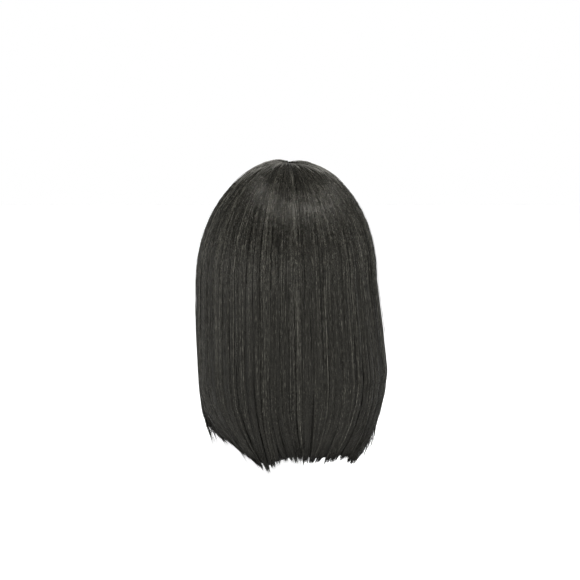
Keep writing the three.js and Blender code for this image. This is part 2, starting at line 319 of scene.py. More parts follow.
def gathered(azimuth, station, amount=1.0):
    """Azimuths and stations of strands once they have drifted sideways to the points where they gather."""
    at = abs(azimuth)
    ends = np.where(azimuth < 0, read_table(RIGHT_DRIFT, 1, at), read_table(LEFT_DRIFT, 1, at))
    drift = (np.sign(azimuth) * ends - azimuth) * amount
    sweep = np.clip(station - 2, 0, 1)
    hug = np.clip(abs(drift) / HUG_DRIFT, 0, 1)
    early = lerp(sweep, 1 - (1 - sweep) ** HUG_POWER, hug)
    return azimuth + drift * sweep**DRIFT_POWER, station + early - sweep


def new_piece(name, vertices, faces, material, node):
    """A mesh object that rides with the wig and stands for a CAD node.

    Faces is a list of arrays, each with one row of corners to a face.
    """
    mesh = bpy.data.meshes.new(name)
    sizes = np.concatenate([np.full(len(part), part.shape[1]) for part in faces])
    corners = np.concatenate([part.ravel() for part in faces])
    mesh.vertices.add(len(vertices))
    mesh.vertices.foreach_set("co", vertices.astype(np.float32).ravel())
    mesh.loops.add(len(corners))
    mesh.loops.foreach_set("vertex_index", corners.astype(np.int32))
    mesh.polygons.add(len(sizes))
    mesh.polygons.foreach_set("loop_start", (np.cumsum(sizes) - sizes).astype(np.int32))
    mesh.update(calc_edges=True)
    mesh.shade_smooth()
    mesh.materials.append(material)
    piece = bpy.data.objects.new(name, mesh)
    bpy.context.scene.collection.objects.link(piece)
    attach(piece, "root")
    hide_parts(node)
    return piece


def store(piece, name, values):
    """Keeps a number for each vertex, which the material reads by name."""
    attribute = piece.data.attributes.new(name, "FLOAT", "POINT")
    attribute.data.foreach_set("value", np.asarray(values, np.float32).ravel())


# Strands

SIDES = 3
STRAND_RADIUS = 0.42 * MM
TIP_RADIUS_SHARE, TIP_START = 0.35, 0.85  # a strand tapers from this share of its length on
BAND_ROWS = 4  # strands lie in this many rows on their piece's map
STRIP_SIDE, STRIP_END = 0.12, 0.01  # room round each strand's strip of the map, as shares of it
DOME_KNOTS = [0, 0.025, 0.055, 0.1, 0.17, 0.27, 0.4, 0.56, 0.77, 1]
LOW_KNOTS = [1.5, 2.0, 2.28, 2.53, 2.73, 2.88]
SHORT_STRAND_POINTS = 9  # on strands that start below the dome


def strand_piece(name, centres, radius, tone, material, node):
    """Closed tapered strands. Centres holds the points of each strand from root to tip."""
    count, knots = centres.shape[:2]
    rings = knots - 1
    tangent = np.gradient(centres, axis=1)
    tangent /= np.linalg.norm(tangent, axis=-1, keepdims=True)
    outward = centres - head_core(centres)
    across = np.cross(tangent, outward)
    across /= np.linalg.norm(across, axis=-1, keepdims=True)
    upright = np.cross(across, tangent)
    down = np.linspace(0, 1, knots)
    taper = lerp(1, TIP_RADIUS_SHARE, smoothstep(down, TIP_START, 1))
    angle = rng.uniform(0, 2 * math.pi, count)[:, None, None] + np.arange(SIDES) * 2 * math.pi / SIDES
    reach = (radius[:, None] * taper)[:, :, None]
    ring = centres[:, :, None, :] + reach[..., None] * (
        np.cos(angle)[..., None] * upright[:, :, None, :] + np.sin(angle)[..., None] * across[:, :, None, :]
    )
    vertices = np.concatenate([ring[:, :-1].reshape(count, -1, 3), centres[:, -1:]], axis=1)
    strand_size = rings * SIDES + 1
    j, k = np.meshgrid(np.arange(rings - 1), np.arange(SIDES), indexing="ij")
    here, below, following = j * SIDES, (j + 1) * SIDES, (k + 1) % SIDES
    wall = np.stack([here + k, below + k, below + following, here + following], -1)
    last = (rings - 1) * SIDES
    point = np.array([(last + s, rings * SIDES, last + (s + 1) % SIDES) for s in range(SIDES)])
    root_cap = np.arange(SIDES)[None, :]
    starts = (np.arange(count) * strand_size)[:, None, None]
    faces = [
        (starts + wall.reshape(1, -1, 4)).reshape(-1, 4),
        (starts + point[None]).reshape(-1, 3),
        (starts + root_cap[None]).reshape(-1, 3),
    ]
    piece = new_piece(name, vertices.reshape(-1, 3), faces, material, node)
    lengths = np.concatenate([np.repeat(down[:-1], SIDES), [1.0]])
    store(piece, "along", np.tile(lengths, count))
    store(piece, "tone", np.repeat(tone, strand_size))
    store(piece, "strand", np.repeat(np.arange(count) / count, strand_size))
    add_strand_map(piece, count, rings, j, k)


def add_strand_map(piece, count, rings, j, k):
    """A map in which each strand has a narrow upright strip of its own, with its root cap at the foot."""
    columns = math.ceil(count / BAND_ROWS)
    left = (np.arange(count) % columns)[:, None]
    bottom = (np.arange(count) // columns)[:, None]
    wall_u = np.stack([k, k, k + 1, k + 1], -1).ravel() / SIDES
    wall_v = np.stack([j, j + 1, j + 1, j], -1).ravel() / rings
    point_u = np.array([(s, s + 0.5, s + 1) for s in range(SIDES)]).ravel() / SIDES
    point_v = np.tile([(rings - 1) / rings, 1, (rings - 1) / rings], SIDES)
    cap_u, cap_v = np.array([0.1, 0.9, 0.5]), np.array([0.0, 0.0, 0.01])
    width, height = 1 - 2 * STRIP_SIDE, 1 - 2 * STRIP_END
    u = [((left + STRIP_SIDE + width * part) / columns).ravel() for part in (wall_u, point_u, cap_u)]
    v = [((bottom + STRIP_END + height * part) / BAND_ROWS).ravel() for part in (wall_v, point_v, cap_v)]
    places = np.stack([np.concatenate(u), np.concatenate(v)], -1)
    layer = piece.data.uv_layers.new(name="OFBake")
    layer.data.foreach_set("uv", places.astype(np.float32).ravel())


EDGE_JITTER = 0.32  # how far the edges of the locks are moved, as a share of their width
LEAN_LIMIT = 1.2
GAP_POWER = 6  # gaps between locks are narrow


class Locks:
    """Locks of hair side by side round the head, each with a centre, a width and a lie of its own.

    Angles are degrees and waves are radians to a station. Relief is the depth of the gaps between locks.
    Longer, lean, dip and lighter say how much locks differ in length, slant, depth and tone.
    Point is how much shorter the edges of a lock end, and the painted shade how much darker they are painted,
    as darkness in the gaps between locks.
    Pull is the share by which strands are drawn to their lock's middle, and lie how far the lock wanders.
    """

    def __init__(
        self, width, relief, longer, point, pull, lie, lie_wave,
        lean, dip, dip_wave, lighter, shade, shade_power,
    ):
        count = round(2 * FACE / width)
        edges = np.linspace(-FACE, FACE, count + 1)
        edges[1:-1] += rng.uniform(-EDGE_JITTER, EDGE_JITTER, count - 1) * width
        self.edges = edges
        self.centre = (edges[1:] + edges[:-1]) / 2
        self.half = (edges[1:] - edges[:-1]) / 2
        self.phase = rng.uniform(0, 2 * math.pi, (count, 2))
        self.dip = dip * rng.normal(0, 1, count)
        self.longer = longer * rng.normal(0, 1, count)
        self.lighter = lighter * rng.normal(0, 1, count)
        self.lean = lean * rng.normal(0, 1, count).clip(-LEAN_LIMIT, LEAN_LIMIT)
        self.relief, self.point, self.pull = relief, point, pull
        self.lie, self.lie_wave, self.dip_wave = lie, lie_wave, dip_wave
        self.shade, self.shade_power = shade, shade_power

    def find(self, azimuth):
        """The lock at each azimuth, and how far from the middle of it the azimuth lies, from -1 to 1."""
        lock = np.clip(np.searchsorted(self.edges, azimuth) - 1, 0, len(self.centre) - 1)
        return lock, (azimuth - self.centre[lock]) / self.half[lock]

    def extra_length(self, azimuth):
        """How far past the hem the strands at an azimuth end."""
        lock, off = self.find(azimuth)
        return self.longer[lock] - self.point * off**2

    def drawn(self, azimuth):
        """How far strands are drawn to the middle of their lock by its end."""
        lock, _ = self.find(azimuth)
        return self.pull * (self.centre[lock] - azimuth)[:, None]

    def leaning(self, azimuth, at):
        lock, _ = self.find(azimuth)
        return self.lean[lock, None] * np.clip(at - 2, 0, 1) ** DRIFT_POWER

    def lying(self, azimuth, at):
        lock, _ = self.find(azimuth)
        return self.lie * np.sin(self.lie_wave * at + self.phase[lock, :1])

    def depth(self, azimuth, at):
        """How deep strands lie: deepest in the gap between two locks."""
        lock, off = self.find(azimuth)
        dip = self.dip[lock, None] * np.sin(self.dip_wave * at + self.phase[lock, 1:])
        return (self.relief * off**GAP_POWER)[:, None] + dip

    def tone(self, azimuth):
        """How much lighter strands are than the others, and how much painted shade darkens them at the edges
        of the lock, in the gaps.
        """
        lock, off = self.find(azimuth)
        # Painted shade: strands at the edges of a lock are painted darker, as darkness in the gaps
        return self.lighter[lock] - self.shade * abs(off) ** self.shade_power


broad = Locks(
    width=5.2,
    relief=1.0 * MM,
    longer=1.5 * MM,
    point=1.2 * MM,
    pull=0.35,
    lie=0.42,
    lie_wave=1.7,
    lean=1.2,
    dip=0.4 * MM,
    dip_wave=1.6,
    lighter=0.015,
    shade=0.22,
    shade_power=8,
)
fine = Locks(
    width=1.7,
    relief=0.4 * MM,
    longer=0.8 * MM,
    point=0.5 * MM,
    pull=0.6,
    lie=0.2,
    lie_wave=4.1,
    lean=0.3,
    dip=0.2 * MM,
    dip_wave=2.9,
    lighter=0.03,
    shade=0.1,
    shade_power=5,
)
LOCK_SIZES = (broad, fine)

SURFACE_DEPTH = 0.3 * MM
ROOT_SINK_BACK, ROOT_SINK_FRONT, ROOT_SINK_REACH = 0.5 * MM, 4.5 * MM, 9 * MM
SINK_START, SINK_FULL = 95, 125  # azimuths
ROOT_SPAN = 62  # degrees down the dome over which roots lie
SLOW_WAVE, QUICK_WAVE = 1.9, 5.3  # radians to a station
EMERGING_DEPTH, EMERGING_REACH = 3 * MM, 0.07  # strands come out of the hair below over this many stations
BODY_MARGIN, BODY_SHARE = 1.9 * MM, 0.45  # strands stay this far from the inner face of the hair
PULL_START, LIE_FULL = 1.7, 0.8  # stations
RELIEF_START, RELIEF_FULL = 0.05, 0.9
STRAY_SLOW, STRAY_QUICK = 0.28, 0.12  # degrees
MIDDLE_TONE, TONE_SPREAD = 0.47, 0.11
LIGHT_TONE, LIGHT_RARITY = 0.3, 12


def root_sink(azimuth, face):
    """How much deeper than the outer face the hair lies by its roots."""
    from_root = np.linalg.norm((face - root_points(azimuth))[..., :2], axis=-1)
    sink = lerp(ROOT_SINK_BACK, ROOT_SINK_FRONT, smoothstep(abs(azimuth), SINK_START, SINK_FULL))
    return sink * np.exp(-((from_root / ROOT_SINK_REACH) ** 2))


def stations(start, end):
    """The stations of each strand's points, closer together where it curves."""
    if start.min() > 1:
        return lerp(start[:, None], end[:, None], np.linspace(0, 1, SHORT_STRAND_POINTS))
    dome = start[:, None] + (1 - start[:, None]) * np.array(DOME_KNOTS)
    low = np.tile(LOW_KNOTS, (len(start), 1))
    low = 1 + (low - 1) * ((end[:, None] - 1) / 2)
    return np.concatenate([dome, low, end[:, None]], axis=1)


def wave_phases(count):
    """Where each strand's slow wave and quick wave begin."""
    return rng.uniform(0, 2 * math.pi, (2, count, 1))


def wander(at, phases, slow, quick):
    """How far strands wander sideways, in a slow wave and a quick one."""
    return slow * np.sin(SLOW_WAVE * at + phases[0]) + quick * np.sin(QUICK_WAVE * at + phases[1])


def lay(azimuth, start, depth, length, pull=0.25, gather=1.0, wave=1.0):
    """Centre lines of strands that follow their locks. Length lengthens the ends."""
    sweep_length = -BEND_DROP - hem_points(azimuth)[:, 2]
    extra = sum(locks.extra_length(azimuth) for locks in LOCK_SIZES)
    at = stations(start, 3 + (extra + length) / sweep_length)
    drawn = pull * smoothstep(at, PULL_START, 3) * sum(locks.drawn(azimuth) for locks in LOCK_SIZES)
    leaning = sum(locks.leaning(azimuth, at) for locks in LOCK_SIZES)
    lying = sum(locks.lying(azimuth, at) for locks in LOCK_SIZES)
    stray = wander(at, wave_phases(len(azimuth)), STRAY_SLOW, STRAY_QUICK)
    drifted, station = gathered(azimuth[:, None], at, gather)
    along = drifted + drawn + wave * (leaning + (lying + stray) * smoothstep(at, 0, LIE_FULL))
    along = np.clip(along, -FACE, FACE)
    relief = smoothstep(at, RELIEF_START, RELIEF_FULL) * sum(locks.depth(azimuth, at) for locks in LOCK_SIZES)
    since_root = at - start[:, None]
    emerging = EMERGING_DEPTH * np.exp(-((since_root / EMERGING_REACH) ** 2)) * (start[:, None] > 0.02)
    face = outer_face(along, station)
    wall = wall_at(along, station, face)
    deepest = np.maximum(wall - BODY_MARGIN, BODY_SHARE * wall)
    total = depth[:, None] + relief + emerging + root_sink(along, face)
    return moved_in(face, np.minimum(total, deepest))


def spread_azimuths(low, high, count):
    """Azimuths one to a step between two, each at random in its step."""
    return lerp(low, high, (np.arange(count) + rng.uniform(0, 1, count)) / count)


def root_stations(count, crowd=0.3):
    """Stations of roots: a share, crowd, at the whorl and the parting, and the rest over the scalp."""
    turn = np.arcsin(np.sqrt(rng.uniform(0, 1, count)) * math.sin(math.radians(ROOT_SPAN)))
    start = np.degrees(turn) / 90
    return np.where(rng.uniform(0, 1, count) < crowd, 0.0, start)


def strand_radii(thinnest, thickest, count):
    """Radii between two shares of the usual one."""
    return STRAND_RADIUS * rng.uniform(thinnest, thickest, count)


def strand_tones(azimuth):
    """A tone for each strand: most are alike, a few are light, and those in the gaps get painted shade."""
    tone = MIDDLE_TONE + sum(locks.tone(azimuth) for locks in LOCK_SIZES)
    tone += rng.normal(0, TONE_SPREAD, len(azimuth))
    tone += LIGHT_TONE * rng.uniform(0, 1, len(azimuth)) ** LIGHT_RARITY
    return tone.clip(0, 1)


def outer_strands(name, node, low, high, count, material):
    """The strands that show on the outside of one piece of hair. A fifth of them lies deeper."""
    azimuth = spread_azimuths(low, high, count)
    deep = rng.uniform(0, 1, count) < 0.2
    depth = np.where(deep, rng.uniform(1.5, 6.0, count), rng.exponential(0.45, count).clip(0, 2)) * MM
    length = np.where(deep, rng.normal(0, 1.8, count), rng.normal(1.4, 1.8, count)) * MM
    centres = lay(azimuth, root_stations(count), depth + SURFACE_DEPTH, length)
    radius = strand_radii(0.7, 1.25, count)
    strand_piece(name, centres, radius, strand_tones(azimuth), material, node)


def front_edge_strands(side, count, material):
    """Strands through the whole thickness of the hair at its free edge by the face."""
    azimuth = side * rng.uniform(FACE - 2.5, FACE - 0.2, count)
    start = root_stations(count, 0.15)
    widest = np.ones(count)
    wall = wall_at(azimuth, widest, outer_face(azimuth, widest))
    depth = rng.uniform(0.1, 0.95, count) * wall
    centres = lay(azimuth, start, depth, rng.normal(-3, 4, count) * MM, wave=0.5)
    radius = strand_radii(0.8, 1.3, count)
    word = "left" if side > 0 else "right"
    name, node = f"{word}_front_edge_strands", f"{word}_front_hair"
    strand_piece(name, centres, radius, strand_tones(azimuth), material, node)


def inner_strands(name, node, low, high, count, material):
    """Strands on the inner face of the hair, which shows from the front and from below."""
    azimuth = spread_azimuths(low, high, count)
    at = stations(np.full(count, 0.75), 3 - rng.uniform(0.02, 0.2, count))
    phases = wave_phases(count)
    along, at = gathered(azimuth[:, None], at)
    along = np.clip(along + wander(at, phases, 0.5, 0.2), -FACE, FACE)
    face = outer_face(along, at)
    wall = wall_at(along, at, face)
    inset = rng.uniform(0.2, 1.2, count)[:, None] * MM
    centres = moved_in(face, np.maximum(wall - inset, 0.5 * MM))
    radius = strand_radii(0.9, 1.4, count)
    strand_piece(name, centres, radius, strand_tones(azimuth), material, node)


def under_face(azimuth, station):
    """The outer face of the under hair, which lies inside the outer hair and ends a little higher."""
    hem = hem_points(azimuth)
    shorter = 1 - UNDER_LIFT / (-BEND_DROP - hem[..., 2])
    at = np.where(station > 2, 2 + (station - 2) * shorter, station)
    face = outer_face(azimuth, at)
    return moved_in(face, wall_at(azimuth, at, face) + SEAT_GAP)


def cap_points(azimuth, share, extra):
    """Points of the cap from the crown (share 0) to its edge (share 1), with the head moved out by extra."""
    azimuth, share = np.broadcast_arrays(azimuth, share)
    y = lerp(CROWN_SETBACK, HAIRLINE_SETBACK - HEAD_HALF[1], parting_share(azimuth))
    root = stacked(0, y, cap_top(y))
    ring = ring_points(azimuth, WIDEST_DROP)
    dome = dome_between(root, ring, azimuth, np.radians(share * read_table(CAP_RIM, 1, abs(azimuth))))
    core = np.array([0, 0, -HEAD_HALF[2]])
    direction = dome - core
    direction /= np.linalg.norm(direction, axis=-1, keepdims=True)
    height = np.where(direction[..., 2] > 0, HEAD_HALF[2], CRANIUM_FALL) + extra
    across = np.hypot(direction[..., 0] / (HEAD_HALF[0] + extra), direction[..., 1] / (HEAD_HALF[1] + extra))
    return core + direction / np.hypot(across, direction[..., 2] / height)[..., None]


def rim_crossing(azimuth):
    """The stations at which the under hair passes the cap's edge, and the room for it there."""
    station = np.linspace(0.7, 2, 80)
    face = under_face(azimuth[:, None], station[None, :])
    rim = cap_points(azimuth, np.ones_like(azimuth), 0.0)[..., 2]
    last = (face[..., 2] >= rim[:, None]).sum(axis=1) - 1
    room = room_to_head(face, CAP_WALL + SEAT_GAP)
    return station[last], np.take_along_axis(room, last[:, None], axis=1)


def under_wall(azimuth, points):
    """How thick the under hair is: it fills the room down to the cap's edge and then thins to its ends."""
    station, room_at_rim = rim_crossing(azimuth[:, 0])
    rim = under_face(azimuth[:, 0], station)[:, None, 2]
    hem = under_face(azimuth[:, -1], 3.0)[:, None, 2]
    hanging = np.clip((rim - points[..., 2]) / (rim - hem), 0, 1)
    room = room_to_head(points, CAP_WALL + SEAT_GAP)
    return lerp(np.where(points[..., 2] >= rim, room, room_at_rim), TIP_WALL, hanging)


def under_strands(name, low, high, count, material):
    """Strands on the inner face of the under hair, and through its thickness at the ends."""
    azimuth = spread_azimuths(low, high, count)
    phases = wave_phases(count)
    start = rim_crossing(azimuth)[0] - 0.03
    at = start[:, None] + (3 + rng.normal(0, 0.03, count) - start)[:, None] * np.linspace(0, 1, 10)
    along, at = gathered(azimuth[:, None], at, 0.6)
    along = np.clip(along + wander(at, phases, 0.8, 0.3), -FRONT, FRONT)
    face = under_face(along, at)
    wall = under_wall(along, face)
    inset = rng.uniform(-0.5, 0.5, count)[:, None] * MM
    through = rng.uniform(0, 1, count)[:, None] ** 3 * wall * smoothstep(at, 2.2, 2.9)
    centres = moved_in(face, np.maximum(wall - inset - through, 0.3 * MM))
    radius = strand_radii(1.0, 1.6, count)
    strand_piece(name, centres, radius, strand_tones(azimuth), material, "under_hair")


def arch_strands(name, node, low, high, count, material):
    """Strands where the hair parts over a shoulder, which keep it as dense there as elsewhere."""
    azimuth = spread_azimuths(low, high, count)
    depth = rng.uniform(0.7, 3.0, count) * MM
    start = rng.uniform(1.4, 2.0, count)
    gather = rng.uniform(0, 0.7, count)[:, None]
    centres = lay(azimuth, start, depth, rng.normal(1, 2, count) * MM, gather=gather, wave=0.3)
    radius = strand_radii(0.8, 1.3, count)
    strand_piece(name, centres, radius, strand_tones(azimuth), material, node)


def highlight_tress(name, node, azimuth, spread, count, material):
    """A few strands that lie on top of the others, painted light as a painted highlight."""
    azimuth = azimuth + rng.normal(0, spread, count)
    depth = rng.uniform(0, 0.5, count) * MM
    centres = lay(azimuth, rng.uniform(1.1, 2.1, count), depth, rng.normal(0, 2, count) * MM)
    radius = strand_radii(0.6, 0.9, count)
    strand_piece(name, centres, radius, rng.uniform(0, 0.45, count), material, node)


def wisps(name, node, low, high, count, reach, material):
    """Loose ends that stand out past the others by up to a reach, in a few small tufts."""
    tufts = rng.uniform(low, high, 6)
    azimuth = rng.choice(tufts, count) + rng.normal(0, 0.9, count)
    depth = rng.uniform(0, 2.5, count) * MM + SURFACE_DEPTH
    length = rng.uniform(0.3, 1.0, count) * reach
    start = rng.uniform(1.5, 2.2, count)
    centres = lay(azimuth, start, depth, length, pull=0.2, gather=0.4, wave=1.8)
    down = np.linspace(0, 1, centres.shape[1])
    kick = rng.uniform(0.5, 9, count)[:, None] * smoothstep(down, 0.55, 1) ** 2 * MM
    centres = moved_in(centres, -kick)
    radius = strand_radii(0.6, 0.9, count)
    strand_piece(name, centres, radius, strand_tones(azimuth), material, node)


def painted_glint_hairs(name, node, low, high, count, tufts, start, reach, material):
    """Hairs in tufts, lifted off the dome and painted light as painted highlights, which leave the dome near
    a station and reach over up to a number of stations.
    """
    azimuth = rng.choice(np.linspace(low, high, tufts) + rng.normal(0, 1.5, tufts), count)
    azimuth = azimuth + rng.normal(0, 1.3, count)
    share = np.linspace(0, 1, 7)
    length = reach * rng.uniform(0.3, 1, count) * lerp(0.35, 1, abs(azimuth) / max(abs(low), abs(high)))
    at = start * rng.uniform(0, 2, count)[:, None] + length[:, None] * share
    along = azimuth[:, None] + rng.normal(0, 1.2, count)[:, None] * share
    face = outer_face(along, at)
    rise = rng.uniform(0.6, 1.8, count)[:, None] * np.sin(math.pi * lerp(0.1, 1, share)) * MM
    centres = moved_in(face, SURFACE_DEPTH * 0.8 + root_sink(along, face) - rise)
    radius = strand_radii(0.55, 0.9, count)
    strand_piece(name, centres, radius, rng.uniform(0.4, 1.25, count), material, node)


def flyaways(name, node, low, high, count, material):
    """Fine single hairs that lift off the surface."""
    azimuth = rng.uniform(low, high, count)
    start = rng.uniform(0.02, 0.7, count)
    end = np.minimum(start + rng.uniform(0.8, 2.2, count), 3.05)
    share = np.linspace(0, 1, 14)
    at = start[:, None] + (end - start)[:, None] * share
    phases = wave_phases(count)
    along = azimuth[:, None] + 2.2 * np.sin(1.3 * at + phases[0]) * smoothstep(at - start[:, None], 0, 1)
    along = np.clip(along + 0.6 * np.sin(3.7 * at + phases[1]), -FACE, FACE)
    bow = rng.uniform(0.3, 2.2, count)[:, None] * np.sin(math.pi * share) * MM
    kick = rng.exponential(1.2, count).clip(0, 4)[:, None] * share**3 * MM
    centres = moved_in(outer_face(along, at), SURFACE_DEPTH * 1.5 * (1 - share) - bow - kick)
    radius = 0.16 * MM * rng.uniform(0.8, 1.5, count)
    strand_piece(name, centres, radius, rng.uniform(0.4, 1, count), material, node)

# Bodies under the strands

BODY_STEP, BODY_ROWS = 0.9, 30  # degrees between columns, and rows
BODY_EDGE = 0.15  # degrees that a body ends before the edge of its piece
BODY_START, BODY_END = 0.03, 2.96  # stations
BODY_CROWDING = 1.1  # rows are closer together at the crown
BODY_DEPTH = 2.6 * MM
UNDER_STEP, UNDER_ROWS, UNDER_EDGE = 1.4, 22, 0.3
UNDER_START, UNDER_END = 0.88, 2.85
HALF_END_WALL = 0.4 * MM  # half the thickness of a body at its end
INNER_SKIN = 1.2 * MM
CAP_COLUMNS, CAP_ROWS = 131, 49
CAP_ROLL, CAP_ROLL_SHARE = 0.55 * MM, 0.025


def wall_piece(name, outer, inner, azimuth, share, material, node, crown=False):
    """A closed wall between two grids of points, each by column and row."""
    columns, rows = outer.shape[:2]
    grid = np.arange(columns * rows).reshape(columns, rows)
    back = grid + columns * rows
    quads = [
        np.stack([grid[:-1, :-1], grid[1:, :-1], grid[1:, 1:], grid[:-1, 1:]], -1).reshape(-1, 4),
        np.stack([back[:-1, :-1], back[:-1, 1:], back[1:, 1:], back[1:, :-1]], -1).reshape(-1, 4),
        np.stack([grid[:-1, -1], grid[1:, -1], back[1:, -1], back[:-1, -1]], -1),
        np.stack([grid[0, :-1], grid[0, 1:], back[0, 1:], back[0, :-1]], -1),
        np.stack([grid[-1, :-1], back[-1, :-1], back[-1, 1:], grid[-1, 1:]], -1),
    ]
    if not crown:
        quads.append(np.stack([grid[:-1, 0], back[:-1, 0], back[1:, 0], grid[1:, 0]], -1))
    vertices = np.concatenate([outer.reshape(-1, 3), inner.reshape(-1, 3)])
    piece = new_piece(name, vertices, [np.concatenate(quads)], material, node)
    store(piece, "round", np.tile(np.broadcast_to(azimuth, (columns, rows)).ravel(), 2))
    store(piece, "along", np.tile(np.broadcast_to(share, (columns, rows)).ravel(), 2))
    if crown:
        weld(piece)


def weld(piece):
    """Joins the points that lie on each other, and drops the faces that have no width."""
    shape = bmesh.new()
    shape.from_mesh(piece.data)
    bmesh.ops.remove_doubles(shape, verts=shape.verts, dist=1e-6)
    bmesh.ops.dissolve_degenerate(shape, edges=shape.edges, dist=1e-7)
    shape.to_mesh(piece.data)
    shape.free()


def body_grid(low, high, step, rows):
    """Azimuths in columns, and shares of the way down in rows."""
    columns = round((high - low) / step) + 1
    return columns, np.linspace(0, 1, rows)[None, :]


def hair_body(node, low, high, material):
    """The body of a piece of hair under its strands, painted dark as painted shade."""
    columns, share = body_grid(low, high, BODY_STEP, BODY_ROWS)
    azimuth = np.linspace(low + BODY_EDGE, high - BODY_EDGE, columns)[:, None]
    station = lerp(BODY_START, BODY_END, share**BODY_CROWDING)
    azimuth, station = np.broadcast_arrays(azimuth, station)
    _, off = fine.find(azimuth)
    face = outer_face(azimuth, station)
    wall = wall_at(azimuth, station, face)
    furrow = fine.relief * (off**2 - 0.5) * smoothstep(station, 0.3, 1)
    depth = BODY_DEPTH + furrow + root_sink(azimuth, face)
    deepest = np.maximum(wall - INNER_SKIN, 0.75 * wall)
    ending = smoothstep(station, 2.4, BODY_END)
    middle = 0.5 * wall
    outer = moved_in(face, lerp(np.minimum(depth, deepest), middle - HALF_END_WALL, ending))
    inner = moved_in(face, lerp(0.98 * wall, middle + HALF_END_WALL, ending))
    wall_piece(f"{node}_body", outer, inner, azimuth, share, material, node)


def under_body(material):
    """The body of the under hair, from just above the cap's edge down."""
    columns, share = body_grid(-FRONT, FRONT, UNDER_STEP, UNDER_ROWS)
    azimuth = np.linspace(-FRONT + UNDER_EDGE, FRONT - UNDER_EDGE, columns)[:, None]
    azimuth, station = np.broadcast_arrays(azimuth, lerp(UNDER_START, UNDER_END, share))
    face = under_face(azimuth, station)
    wall = under_wall(azimuth, face)
    ending = smoothstep(station, 2.3, UNDER_END)
    middle = 0.5 * wall
    outer = moved_in(face, lerp(0.2 * MM, middle - HALF_END_WALL, ending))
    inner = moved_in(face, lerp(wall - INNER_SKIN, middle + HALF_END_WALL, ending))
    wall_piece("under_hair_body", outer, inner, azimuth, share, material, "under_hair")


def cap_piece(material):
    """The thin cap, with a rolled hem along its edge."""
    azimuth = np.linspace(-FACE, FACE, CAP_COLUMNS)[:, None]
    share = np.linspace(0, 1, CAP_ROWS)[None, :]
    roll = CAP_ROLL * np.exp(-(((1 - share) / CAP_ROLL_SHARE) ** 2))
    outer = cap_points(azimuth, share, CAP_WALL)
    inner = moved_in(cap_points(azimuth, share, 0.0), roll)
    wall_piece("cap_net", outer, inner, azimuth, share, material, "cap", crown=True)


# Materials

# Noise on the strands: how much it changes from strand to strand and along one
PATCHES, SPECKS, GLOSS, CRIMP = (900, 7), (1300, 120), (1700, 24), (2300, 110)
PATCH_AMOUNT, SPECK_AMOUNT, GLOSS_AMOUNT = 0.6, 1.5, 0.4
# Painted shade: strands are painted darker towards their tips
TIP_PAINTED_SHADE, TIP_PAINTED_SHADE_POWER = 0.3, 2.4
HAIR_SPECULAR, DEPTH_SPECULAR = 0.17, 0.12


class Graph:
    """The node graph of a material or of the world."""

    def __init__(self, owner):
        owner.use_nodes = True
        self.nodes, self.links = owner.node_tree.nodes, owner.node_tree.links

    def attribute(self, name):
        node = self.nodes.new("ShaderNodeAttribute")
        node.attribute_name = name
        return node.outputs["Fac"]

    def math(self, operation, *values):
        """A sum, product or the like of numbers and of other nodes' values."""
        node = self.nodes.new("ShaderNodeMath")
        node.operation = operation
        for socket, value in zip(node.inputs, values):
            if isinstance(value, (int, float)):
                socket.default_value = value
            else:
                self.links.new(value, socket)
        return node.outputs[0]

    def ramp(self, value, stops):
        ramp = self.nodes.new("ShaderNodeValToRGB")
        elements = ramp.color_ramp.elements
        while len(elements) < len(stops):
            elements.new(0.5)
        for element, (position, colour) in zip(elements, stops):
            element.position = position
            element.color = (*colour, 1)
        self.links.new(value, ramp.inputs["Fac"])
        return ramp.outputs["Color"]

    def noise(self, parts, scales, detail=2.0):
        """Noise over a place made of two values, each with its own scale."""
        place = self.nodes.new("ShaderNodeCombineXYZ")
        for part, scale, socket in zip(parts, scales, place.inputs):
            self.links.new(self.math("MULTIPLY", part, scale), socket)
        noise = self.nodes.new("ShaderNodeTexNoise")
        noise.inputs["Scale"].default_value = 1
        noise.inputs["Detail"].default_value = detail
        self.links.new(place.outputs[0], noise.inputs["Vector"])
        return noise.outputs["Fac"]

    def add_noise(self, value, parts, scales, amount):
        """A value with noise of an amount added, which leaves its average as it is."""
        centred = self.math("SUBTRACT", self.noise(parts, scales), 0.5)
        return self.math("ADD", value, self.math("MULTIPLY", centred, amount))

    def bump(self, height, strength, distance):
        bump = self.nodes.new("ShaderNodeBump")
        bump.inputs["Strength"].default_value = strength
        bump.inputs["Distance"].default_value = distance
        self.links.new(height, bump.inputs["Height"])
        return bump.outputs["Normal"]


def new_material(name):
    material = bpy.data.materials.new(name)
    graph = Graph(material)
    return material, graph, graph.nodes["Principled BSDF"].inputs


def hair_material(name, dark, middle, light, roughness):
    """Hair with a tone for each strand, which varies softly along it, with painted shade that darkens it
    towards the tip.
    """
    material, graph, sockets = new_material(name)
    along = graph.attribute("along")
    place = (graph.attribute("strand"), along)
    value = graph.add_noise(graph.attribute("tone"), place, PATCHES, PATCH_AMOUNT)
    value = graph.add_noise(value, place, SPECKS, SPECK_AMOUNT)
    # Painted shade, darker towards the tip of each strand
    shade = graph.math("MULTIPLY", graph.math("POWER", along, TIP_PAINTED_SHADE_POWER), TIP_PAINTED_SHADE)
    value = graph.math("SUBTRACT", value, shade)
    colour = graph.ramp(value, [(0.1, dark), (0.5, middle), (1.0, light)])
    graph.links.new(colour, sockets["Base Color"])
    rough = graph.add_noise(roughness, place, GLOSS, GLOSS_AMOUNT)
    graph.links.new(rough, sockets["Roughness"])
    crimp = graph.bump(graph.noise(place, CRIMP), 1.0, 0.6 * MM)
    graph.links.new(crimp, sockets["Normal"])
    sockets["Specular IOR Level"].default_value = HAIR_SPECULAR
    sockets["Specular Tint"].default_value = (1.0, 0.97, 0.88, 1)
    return material


